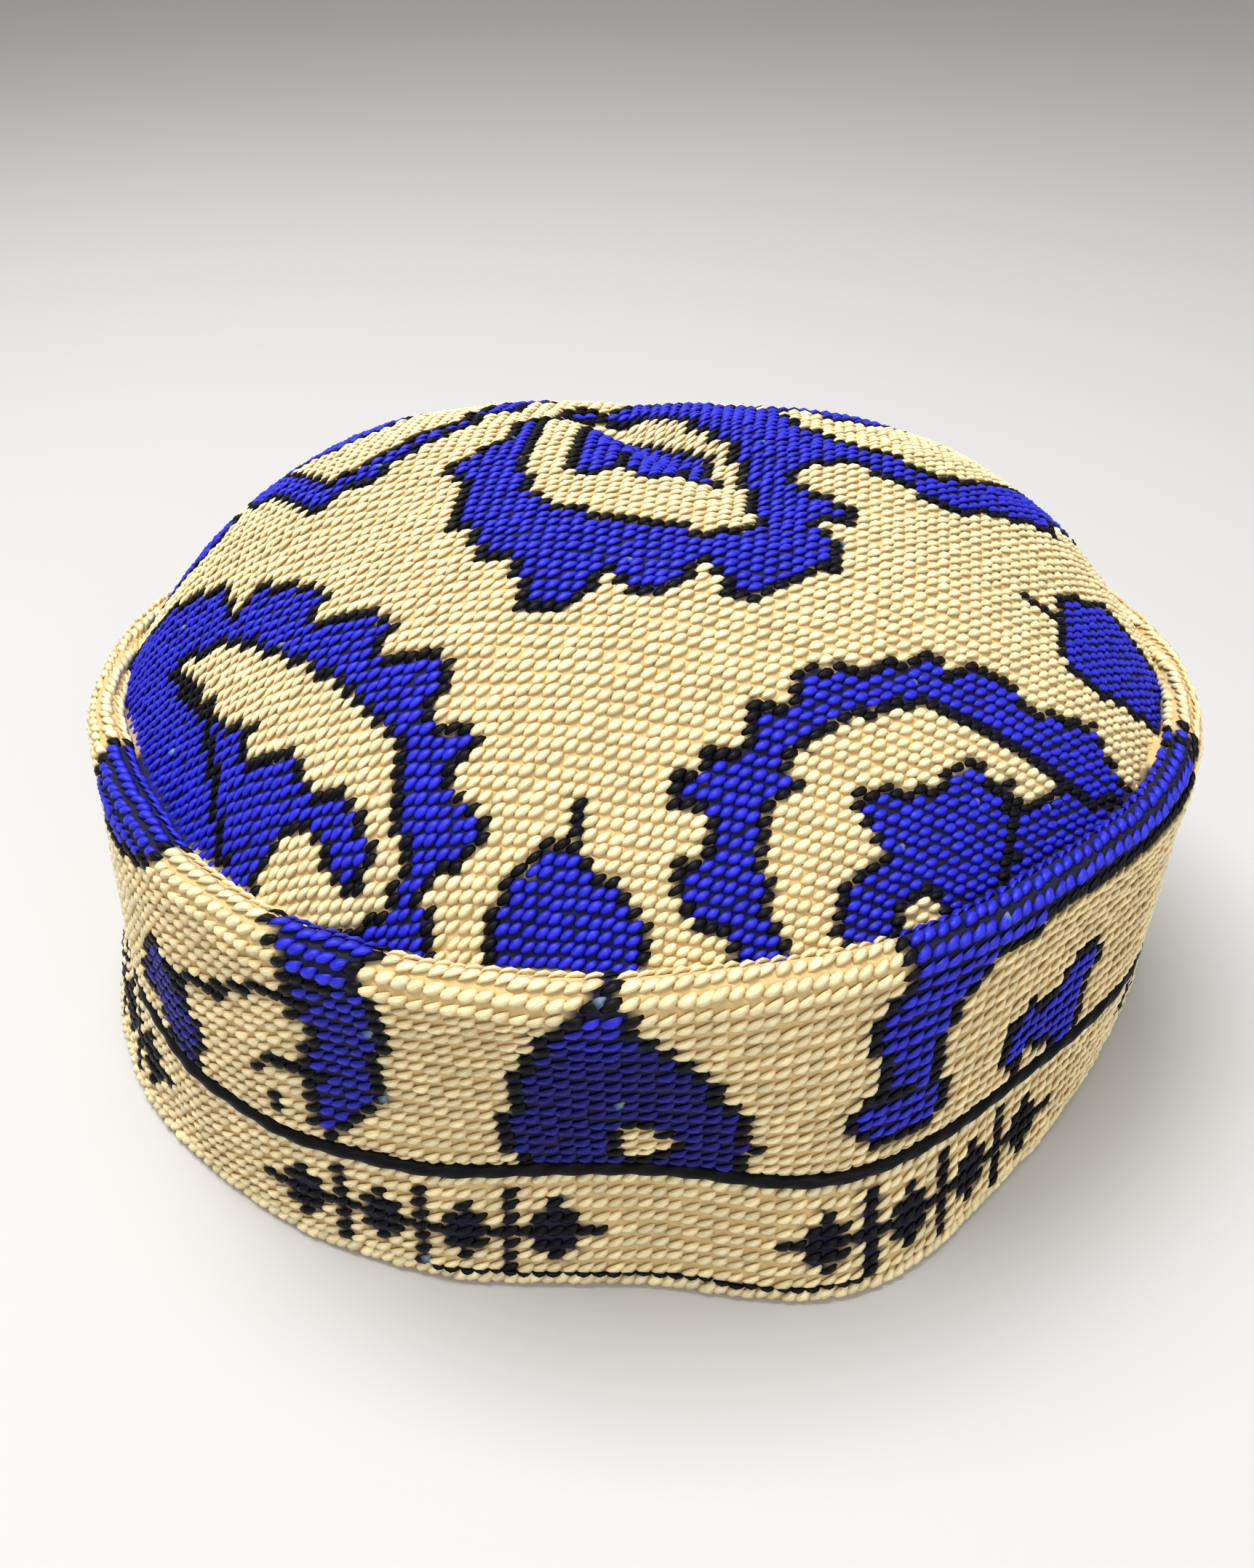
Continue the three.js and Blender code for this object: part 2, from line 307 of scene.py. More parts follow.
CORNER_RIGHT_FLECK = [(44, -19), (46, -19), (46, -21), (45, -21)]
CORNER_LEFT = [
    (-56, -4), (-40, -7), (-35, -9), (-34, -13), (-31, -11), (-26, -13), (-23, -15), (-24, -18), (-18, -18),
    (-16, -20), (-17, -23), (-12, -23), (-11, -25), (-12, -29), (-9, -29), (-8, -31), (-10, -33), (-8, -35),
    (-7, -37), (-8, -39), (-12, -41), (-11, -43), (-11, -56), (-36, -56), (-56, -36),
]
CORNER_LEFT_CRESCENT = [
    (-41, -15), (-35, -16), (-31, -18), (-28, -20), (-22, -24), (-19, -26), (-17, -28), (-15, -31), (-15, -35),
    (-14, -39), (-15, -42), (-19, -43), (-22, -43), (-27, -41), (-27, -38), (-24, -36), (-20, -34), (-23, -32),
    (-23, -30), (-24, -29), (-29, -29), (-28, -26), (-31, -25), (-35, -22), (-39, -18),
]
CORNER_LEFT_HOOK = [
    (-24, -35), (-23, -32), (-20, -33), (-17, -35), (-16, -38), (-17, -41), (-20, -40), (-21, -37),
]
FAR_RIGHT = [
    (8, 13), (9, 10), (11, 10), (12, 6), (15, 5), (15, 2), (18, 3), (20, 2), (22, 2), (25, 1), (28, 1),
    (30, 3), (33, 4), (35, 6), (38, 7), (38, 11), (42, 12), (41, 16), (45, 17), (56, 20), (56, 40),
    (40, 56), (14, 56), (12, 44), (9, 42), (11, 38), (8, 36), (11, 31), (8, 29), (11, 24), (8, 22), (10, 17),
]
FAR_RIGHT_CRESCENT = [
    (11, 13), (14, 10), (19, 7), (25, 6), (29, 8), (33, 12), (36, 18), (36, 26), (33, 34), (27, 41), (20, 45),
    (23, 38), (26, 30), (25, 21), (20, 15), (15, 14), (13, 17),
]
FAR_LEFT = [
    (-56, 14), (-46, 12), (-40, 8), (-37, 2), (-32, 0), (-30, -3), (-27, -5), (-24, -3), (-22, -3), (-21, -1),
    (-19, 1), (-19, 3), (-17, 4), (-17, 6), (-15, 7), (-15, 10), (-12, 11), (-12, 15), (-10, 17),
    (-12, 21), (-9, 24), (-12, 28), (-9, 32), (-12, 36), (-9, 40), (-12, 44), (-12, 56), (-40, 56), (-56, 40),
]
FAR_LEFT_CRESCENT = [
    (-27, -1), (-24, 0), (-21, 4), (-18, 7), (-16, 12), (-15, 18), (-15, 27), (-18, 36), (-24, 43), (-31, 46),
    (-26, 38), (-22, 30), (-21, 22), (-22, 15), (-25, 9), (-29, 6), (-33, 6),
]
TOP_ALMOND = [
    (-16, -2), (-14, -5), (-14, -11), (-12, -11), (-11, -15), (-8, -15), (-7, -19), (-6, -20), (-3, -20),
    (-1, -18), (0, -15), (1, -18), (4, -18), (6, -16), (7, -13), (8, -17), (11, -17), (13, -15), (15, -12),
    (17, -12), (17, -8), (14, -6), (18, -6), (18, -3), (14, -2), (13, 0), (15, 3), (15, 7), (12, 8), (13, 12),
    (9, 14), (9, 18), (5, 18), (4, 21), (0, 20), (-3, 22), (-5, 18), (-8, 18), (-9, 14), (-8, 11),
    (-12, 8), (-12, 4),
]
TOP_CRESCENT = [
    (-9, 7), (-9, -1), (-8, -5), (-7, -7), (-4, -8), (-2, -9), (4, -9), (6, -10), (10, -8), (9, -3), (8, 1),
    (7, 5), (5, 8), (3, 11), (1, 14), (-2, 16), (-6, 16), (-8, 11),
]
TOP_HEART = [
    (-6, 9), (-6, -1), (-4, -3), (-3, -3), (-2, -1), (-1, -1), (0, -3), (2, -3), (3, -2), (4, -1), (7, -1),
    (6, 4), (4, 7), (2, 9), (-1, 12), (-4, 14), (-6, 12),
]
FRONT_ALMOND = [
    (-2, -37), (-3, -38), (-4, -39), (-5, -40), (-6, -41), (-7, -43), (-7, -56), (6, -56), (6, -43), (5, -41),
    (4, -40), (2, -39), (0, -37),
]
RIGHT_ALMOND = [
    (37, -2), (37, -8), (38, -10), (42, -10), (46, -8), (50, -7), (56, -7), (56, 4), (48, 4), (44, 4), (40, 1),
]
LEFT_ALMOND = [(-38, 3), (-39, -1), (-42, -2), (-46, -2), (-56, 0), (-56, 8), (-46, 8), (-41, 6)]
FAR_ALMOND = [(-x, -y) for x, y in FRONT_ALMOND]
CROWN_SHAPES = [
    (BLUE, CORNER_RIGHT), (CREAM, CORNER_RIGHT_CRESCENT), (CREAM, CORNER_RIGHT_SPOT),
    (CREAM, CORNER_RIGHT_FLECK), (BLUE, CORNER_LEFT), (CREAM, CORNER_LEFT_CRESCENT), (BLUE, CORNER_LEFT_HOOK),
    (BLUE, FRONT_ALMOND), (BLUE, RIGHT_ALMOND), (BLUE, FAR_RIGHT), (CREAM, FAR_RIGHT_CRESCENT),
    (BLUE, FAR_LEFT), (CREAM, FAR_LEFT_CRESCENT), (BLUE, LEFT_ALMOND), (BLUE, FAR_ALMOND), (BLUE, TOP_ALMOND),
 (CREAM, TOP_CRESCENT), (BLUE, TOP_HEART),
]
CROWN_STROKES = [
    [(33, -24), (34, -25), (35, -29), (34, -32)], [(35, -21), (38, -21), (41, -21), (45, -19)],
    [(-41, -15), (-37, -20), (-35, -22), (-33, -29), (-31, -37)], [(-1, -35), (-1, -37)],
    [(33, -5), (37, -4)], [(-2, -1), (-2, 2)], [(3, -1), (3, 2)], [(36, 26), (40, 30), (43, 31)],
    [(-24, 43), (-28, 40), (-35, 37)],
]
FRONT_PEAK = [
    (187, 17), (186, 15), (184, 13), (183, 11), (182, 9), (182, 7), (181, 5), (181, 3), (182, 1), (182, -1),
    (197, -1), (197, 2), (198, 3), (198, 4), (197, 5), (197, 7), (195, 8), (195, 10), (193, 11),
    (192, 13), (190, 15), (189, 17),
]
FRONT_EYE = [(189, 2), (189, 4), (190, 5), (192, 4), (191, 2)]
LEFT_STEM = [
    (164, 21), (166, 18), (168, 16), (168, 12), (169, 10), (168, 8), (168, 2), (170, 1), (171, 2),
    (174, 5), (174, 8), (175, 12), (175, 14), (174, 16), (175, 18), (178, 21),
]
LEFT_LEAF = [
    (149, 3), (150, 6), (153, 10), (155, 10), (156, 8), (158, 8), (159, 5), (158, 0), (156, 0),
    (154, 1), (152, 3),
]
RIGHT_STEM = [
    (206, 21), (206, 14), (205, 13), (204, 12), (205, 9), (205, 7), (204, 7), (203, 5), (204, 3), (206, 2),
    (210, 2), (211, 3), (210, 9), (211, 11), (211, 12), (213, 13), (214, 14), (217, 14), (218, 15), (236, 15),
    (241, 17), (241, 21),
]
RIGHT_LEAF = [
    (224, 9), (226, 9), (227, 7), (226, 5), (226, 1), (224, 0), (222, 0), (222, 2), (219, 3), (219, 1),
    (217, 2), (216, 4), (216, 7), (218, 7), (218, 8), (221, 7), (223, 8),
]
LEFT_FOLD = [(141, 21), (142, 14), (148, 13), (155, 15), (158, 21)]
WALL_SHAPES = [
    (NAVY, FRONT_PEAK), (CREAM, FRONT_EYE), (DUSK, LEFT_STEM), (NAVY, LEFT_LEAF), (BLUE, RIGHT_STEM),
    (BLUE, RIGHT_LEAF), (BLUE, LEFT_FOLD),
]
WALL_STROKES = [
    [(189, 20), (188, 17)], [(156, 8), (158, 9), (160, 9), (163, 11), (165, 12), (169, 12)],
    [(164, 5), (165, 6), (167, 6), (169, 6)], [(165, 3), (165, 2)], [(169, 14), (171, 14)],
    [(238, 16), (238, 20)], [(205, 6), (207, 6)],
]
NAVY_ROWS = (12, 15)
DUSK_SHARE = 0.5
CROWN_HALF = 58
WALL_ROWS = 20
STROKE_POINTS = 24
WELD_METRES = 1e-6
# How much of the cloth's grid lies on the dome, and where its lower edge ends, in rows above the seam
DOME_SHARE = 0.6
LIP_ROW = 0.15


def inside(outline, x, y):
    """Which points lie inside a closed outline."""
    found = np.zeros(x.shape, bool)
    for (x0, y0), (x1, y1) in zip(outline, outline[1:] + outline[:1]):
        if y0 != y1:
            found ^= ((y0 > y) != (y1 > y)) & (x < (x1 - x0) * (y - y0) / (y1 - y0) + x0)
    return found


def charted(x, y, shapes, strokes, wraps):
    """Silk of each stitch of a chart; blue gets a line of black stitches wherever it meets cream."""
    silk = np.full(x.shape, CREAM)
    for colour, outline in shapes:
        silk[inside(outline, x, y)] = colour
    dyed = silk != CREAM
    beside = np.zeros(x.shape, bool)
    for axis in (0, 1):
        for way in (-1, 1):
            moved = np.roll(dyed, way, axis=axis)
            if axis == 1 or not wraps:
                edge = [slice(None), slice(None)]
                edge[axis] = 0 if way == 1 else -1
                moved[tuple(edge)] = dyed[tuple(edge)]
            beside |= ~moved
    silk[dyed & beside] = BLACK
    for line in strokes:
        for (x0, y0), (x1, y1) in zip(line, line[1:]):
            for t in np.linspace(0, 1, STROKE_POINTS):
                column = int(math.floor(x0 + t * (x1 - x0) - x[0, 0] + 0.5))
                row = int(math.floor(y0 + t * (y1 - y0) - y[0, 0] + 0.5))
                if 0 <= column < x.shape[0] and 0 <= row < x.shape[1]:
                    silk[column, row] = BLACK
    return silk


crown_counts = np.arange(-CROWN_HALF, CROWN_HALF) + 0.5
crown_x, crown_y = np.meshgrid(crown_counts, crown_counts, indexing="ij")
crown_silk = charted(crown_x, crown_y, CROWN_SHAPES, CROWN_STROKES, wraps=False)
wall_x, wall_y = np.meshgrid(np.arange(COLUMNS) + 0.5, np.arange(WALL_ROWS) + 0.5, indexing="ij")
far_shapes = [(colour, [(x - COLUMNS // 2, y) for x, y in outline]) for colour, outline in WALL_SHAPES]
far_strokes = [[(x - COLUMNS // 2, y) for x, y in line] for line in WALL_STROKES]
wall_silk = charted(wall_x, wall_y, WALL_SHAPES + far_shapes, WALL_STROKES + far_strokes, wraps=True)


def welded_grid(point_at, across, along):
    """A grid laid on a surface and welded where its edges meet."""
    work = bmesh.new()
    bmesh.ops.create_grid(work, x_segments=across, y_segments=along, size=0.5)
    spots = np.array([vertex.co[:2] for vertex in work.verts]) + 0.5
    for vertex, place in zip(work.verts, point_at(spots[:, 0], spots[:, 1])):
        vertex.co = place * MILLIMETRE
    bmesh.ops.remove_doubles(work, verts=work.verts, dist=WELD_METRES)
    bmesh.ops.recalc_face_normals(work, faces=work.faces)
    return work


def sewn_shell(name, point_at, across, along):
    """A closed shell of cloth: a grid welded round the cap, then thickened inwards."""
    work = welded_grid(point_at, across, along)
    outside = set(work.faces)
    bmesh.ops.solidify(work, geom=work.faces[:], thickness=CLOTH_THICKNESS * MILLIMETRE)
    for face in work.faces:
        face.smooth = True
        face.material_index = 0 if face in outside else 1
    bmesh.ops.recalc_face_normals(work, faces=work.faces)
    mesh = bpy.data.meshes.new(name)
    work.to_mesh(mesh)
    work.free()
    return mesh


def crown_section(share, down):
    """Outer face under the stitches, from the apex down over the fold to the lip at the seam."""
    angle = share * math.tau - CROWN_TURN
    top = down < DOME_SHARE
    reach = np.clip(down / DOME_SHARE, 0, 1)
    rim = 1 / np.maximum(dome_rim(np.cos(angle), np.sin(angle)), 1e-6)
    u, v = reach * rim * np.cos(angle), reach * rim * np.sin(angle)
    on_dome = dome(u, v) - CLOTH_UNDER_STITCHES * facing(dome, u, v)
    column = np.interp(np.mod(share, 1), ring_angles / math.tau, ring_columns)
    row = WALL_TOP_ROW * np.clip((1 - down) / (1 - DOME_SHARE), 0, 1) + LIP_ROW
    on_wall = wall(column, row) - CLOTH_UNDER_STITCHES * facing(wall, column, row)
    return np.where(top[:, None], on_dome, on_wall)


def paint_gap_shade(mesh, nearest):
    """Marks the cloth under dark stitches for near-black painted shade, so that no cream shows between them.
    """
    spots = np.zeros(len(mesh.vertices) * 3)
    mesh.vertices.foreach_get("co", spots)
    dark = nearest(spots.reshape(-1, 3) / MILLIMETRE).astype(np.float32)
    ground = mesh.attributes.new("dark_gap_shade", "FLOAT", "POINT")
    ground.data.foreach_set("value", dark)


def crown_is_dark(spots):
    """1 for cloth near blue or black stitches of the crown or wall."""
    x, y, z = spots[:, 0], spots[:, 1] - CENTRE_Y, spots[:, 2]
    angle = np.arctan2(y, x)
    valley = valley_radius(angle)
    radii, heights = dome_section(angle, 1)
    steps = np.hypot(np.diff(radii, axis=1), np.diff(heights, axis=1))
    length = np.concatenate([np.zeros((len(angle), 1)), np.cumsum(steps, axis=1)], axis=1) / CROWN_STITCH
    turn = np.clip(np.hypot(x, y) / valley, 0, 0.9999) * steps.shape[1]
    low, rows = turn.astype(int), np.arange(len(angle))
    out = length[rows, low] + (turn - low) * (length[rows, low + 1] - length[rows, low])
    i = np.clip(np.floor(out * np.cos(angle - CROWN_TURN) + CROWN_HALF), 0, 2 * CROWN_HALF - 1).astype(int)
    j = np.clip(np.floor(out * np.sin(angle - CROWN_TURN) + CROWN_HALF), 0, 2 * CROWN_HALF - 1).astype(int)
    column = np.interp(np.mod(angle / math.tau, 1), ring_angles / math.tau, ring_columns)
    column = column.astype(int) % COLUMNS
    row = np.clip((z - SEAM_HEIGHT) / WALL_ROW, 0, WALL_ROWS - 1).astype(int)
    on_dome = np.hypot(x, y) < valley
    return np.where(on_dome, crown_silk[i, j] != CREAM, wall_silk[column, row] != CREAM)


def ground_material(name, cream, dark):
    """Plain-woven cotton in painted shade of the silk: golden, and near black where the attribute says so."""
    made, nodes, links, shader = new_material(name)
    where = nodes.new("ShaderNodeTexCoord")
    weave = nodes.new("ShaderNodeTexNoise")
    weave.inputs["Scale"].default_value = 900
    links.new(where.outputs["Object"], weave.inputs["Vector"])
    mark = nodes.new("ShaderNodeAttribute")
    mark.attribute_name = "dark_gap_shade"
    shade = nodes.new("ShaderNodeMix")
    shade.data_type = "RGBA"
    shade.inputs["A"].default_value = cream
    shade.inputs["B"].default_value = dark
    links.new(mark.outputs["Fac"], shade.inputs["Factor"])
    vary = nodes.new("ShaderNodeMix")
    vary.data_type = "RGBA"
    vary.blend_type = "MULTIPLY"
    vary.inputs["Factor"].default_value = 0.35
    links.new(shade.outputs["Result"], vary.inputs["A"])
    links.new(weave.outputs["Fac"], vary.inputs["B"])
    links.new(vary.outputs["Result"], shader.inputs["Base Color"])
    bump = nodes.new("ShaderNodeBump")
    bump.inputs["Strength"].default_value = 0.5
    bump.inputs["Distance"].default_value = 0.0002
    links.new(weave.outputs["Fac"], bump.inputs["Height"])
    links.new(bump.outputs["Normal"], shader.inputs["Normal"])
    shader.inputs["Roughness"].default_value = 0.9
    return made


def lining_material(name, pale, shade_colour):
    """Undyed cotton lining with a fine weave of crossing threads."""
    made, nodes, links, shader = new_material(name)
    where = nodes.new("ShaderNodeTexCoord")
    heights = []
    for direction in ("X", "Y"):
        thread = nodes.new("ShaderNodeTexWave")
        thread.bands_direction = direction
        thread.inputs["Scale"].default_value = 380
        thread.inputs["Distortion"].default_value = 1.5
        links.new(where.outputs["Object"], thread.inputs["Vector"])
        heights.append(thread)
    cross = nodes.new("ShaderNodeMath")
    cross.operation = "MULTIPLY"
    links.new(heights[0].outputs["Fac"], cross.inputs[0])
    links.new(heights[1].outputs["Fac"], cross.inputs[1])
    mix = nodes.new("ShaderNodeMix")
    mix.data_type = "RGBA"
    mix.inputs["A"].default_value = shade_colour
    mix.inputs["B"].default_value = pale
    links.new(cross.outputs["Value"], mix.inputs["Factor"])
    links.new(mix.outputs["Result"], shader.inputs["Base Color"])
    bump = nodes.new("ShaderNodeBump")
    bump.inputs["Strength"].default_value = 0.35
    bump.inputs["Distance"].default_value = 0.0002
    links.new(cross.outputs["Value"], bump.inputs["Height"])
    links.new(bump.outputs["Normal"], shader.inputs["Normal"])
    shader.inputs["Roughness"].default_value = 0.88
    return made


gap_shade_cotton = ground_material("gap_shade_cotton", GAP_SHADE_CREAM, GAP_SHADE_DARK)
lining_cotton = lining_material("lining_cotton", LINING_PALE, LINING_SHADE)
crown_mesh = sewn_shell("crown_cloth", crown_section, across=252, along=70)
paint_gap_shade(crown_mesh, crown_is_dark)
crown_mesh.materials.append(gap_shade_cotton)
crown_mesh.materials.append(lining_cotton)
crown_cloth = bpy.data.objects.new("crown_cloth", crown_mesh)
bpy.context.scene.collection.objects.link(crown_cloth)
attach(crown_cloth, "root")
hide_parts("crown")

# Crown and wall stitches
# Slanting tent stitches in floss silk that cover the cloth: cream, royal blue fading to navy low on
# the wall, and black along every edge. Each is a plump, glossy grain that dives in at both ends.
CROWN_GRAIN = {"lean": (0.66, 0.5), "half_width": 0.64, "half_thickness": 0.34}
WALL_GRAIN = {"lean": (0.7, 0.34), "half_width": 0.8, "half_thickness": 0.36}
RING_PLACES = np.array([-1.0, -0.55, 0.05, 0.6, 1.0])
RING_WIDTHS = np.array([0.22, 0.8, 1.06, 0.8, 0.22])
RING_LIFTS = np.array([-0.4, -0.02, 0.14, -0.02, -0.4])
RING_SIDES = 5
RING_TURN = 0.25
# How unevenly a hand sews: place, reach and plumpness vary either way, and the lift within a range
PLACE_VARIES = 0.1
REACH_VARIES = 0.1
PLUMP_VARIES = 0.12
LIFT_VARIES = (-0.12, 0.1)
FLOOR_CLEARANCE = 0.05
GLINT_SHARE = 0.007
# Each silk's pale colour is a painted highlight on the round of a stitch; its second colour is painted shade
# at the stitch's ends and flanks, and also the colour of its darker filaments
SILKS = {
    "cream": {"pale": (1.0, 0.89, 0.53, 1), "shade_and_streak": (0.7, 0.5, 0.21, 1), "sheen": 0.15, "gloss": 0.5},
    "blue": {"pale": (0.03, 0.035, 0.82, 1), "shade_and_streak": (0.003, 0.002, 0.22, 1), "sheen": 0.0, "gloss": 0.25},
    "black": {"pale": (0.005, 0.005, 0.007, 1), "shade_and_streak": (0.002, 0.002, 0.003, 1), "sheen": 0.0, "gloss": 0.12},
}
# What blue silk fades to low on the wall
NAVY_SILK = (0.001, 0.001, 0.13, 1)
GLINT = (0.15, 0.24, 0.33, 1)
# The painted shade across a stitch starts at its round top and is full on its flanks, as shares of the way
# round
ROUND_TOP = 0.2
FLANK_SHADE_SPAN = (0.07, 0.24)
FLANK_SHADE_STRENGTH = 0.9
FILAMENTS = {"across": 26, "along": 2.2, "from": 0.42, "to": 0.75, "strength": 0.75, "seeds": 37}
TONES = (0.8, 1.08)
chance = np.random.default_rng(11)


def sew(name, surface, cells, night, lean, half_width, half_thickness):
    """One mesh of slanting stitches; cells are the column and row of each stitch's middle."""
    count = len(cells)
    cells = cells + chance.uniform(-PLACE_VARIES, PLACE_VARIES, (count, 2))
    reach = np.array(lean) * (1 + chance.uniform(-REACH_VARIES, REACH_VARIES, (count, 2)))
    first, middle, last = (surface(*(cells + side * reach).T) for side in (-1, 0, 1))
    normal = facing(surface, *cells.T)
    t = RING_PLACES[None, :, None]
    line = first[:, None] * t * (t - 1) / 2 + middle[:, None] * (1 - t * t) + last[:, None] * t * (t + 1) / 2
    run = first[:, None] * (t - 0.5) - 2 * t * middle[:, None] + last[:, None] * (t + 0.5)
    run = run / np.linalg.norm(run, axis=2)[:, :, None]
    side = np.cross(normal[:, None], run)
    side = side / np.linalg.norm(side, axis=2)[:, :, None]
    up = np.cross(run, side)
    lift = RING_LIFTS[None] + chance.uniform(*LIFT_VARIES, (count, 1))
    line = line + up * lift[:, :, None]
    plump = RING_WIDTHS[None] * (1 + chance.uniform(-PLUMP_VARIES, PLUMP_VARIES, (count, 1)))
    turn = (np.arange(RING_SIDES) + RING_TURN) / RING_SIDES * math.tau
    ring = (side[:, :, None] * np.cos(turn)[:, None] * half_width
            + up[:, :, None] * np.sin(turn)[:, None] * half_thickness)
    spots = (line[:, :, None] + ring * plump[:, :, None, None]).reshape(-1, 3) * MILLIMETRE
    spots[:, 2] = np.maximum(spots[:, 2], FLOOR_CLEARANCE * MILLIMETRE)

    quads, quad_corners = [], []
    for r in range(len(RING_PLACES) - 1):
        for k in range(RING_SIDES):
            n = (k + 1) % RING_SIDES
            this, beyond = r * RING_SIDES, (r + 1) * RING_SIDES
            quads.append((this + k, this + n, beyond + n, beyond + k))
            low, high = RING_PLACES[r], RING_PLACES[r + 1]
            quad_corners += [(k, low), (k + 1, low), (k + 1, high), (k, high)]
    end = (len(RING_PLACES) - 1) * RING_SIDES
    caps = [list(range(RING_SIDES))[::-1], [end + k for k in range(RING_SIDES)]]
    cap_corners = [(0, -1)] * RING_SIDES + [(0, 1)] * RING_SIDES
    per_stitch = len(RING_PLACES) * RING_SIDES
    faces, grain = [], []
    for shape, corners in ((quads, quad_corners), (caps, cap_corners)):
        shape = np.array(shape)[None] + np.arange(count)[:, None, None] * per_stitch
        faces += shape.reshape(-1, shape.shape[2]).tolist()
        corners = np.array(corners, np.float32)
        corners = np.stack([corners[:, 0] / RING_SIDES, corners[:, 1] / 2 + 0.5], axis=1)
        grain.append(np.tile(corners, (count, 1)))
    mesh = bpy.data.meshes.new(name)
    mesh.from_pydata(spots.tolist(), [], faces)
    mesh.uv_layers.new(name="grain").data.foreach_set("uv", np.concatenate(grain).ravel())
    thread = np.ones((count, 4), np.float32)
    thread[:, 0] = chance.uniform(0, 1, count)
    thread[:, 1] = night
    thread[:, 2] = chance.uniform(0, 1, count) < GLINT_SHARE
    colour = mesh.attributes.new("thread", "FLOAT_COLOR", "POINT")
    colour.data.foreach_set("color", np.repeat(thread, per_stitch, axis=0).ravel())
    mesh.shade_smooth()
    return mesh


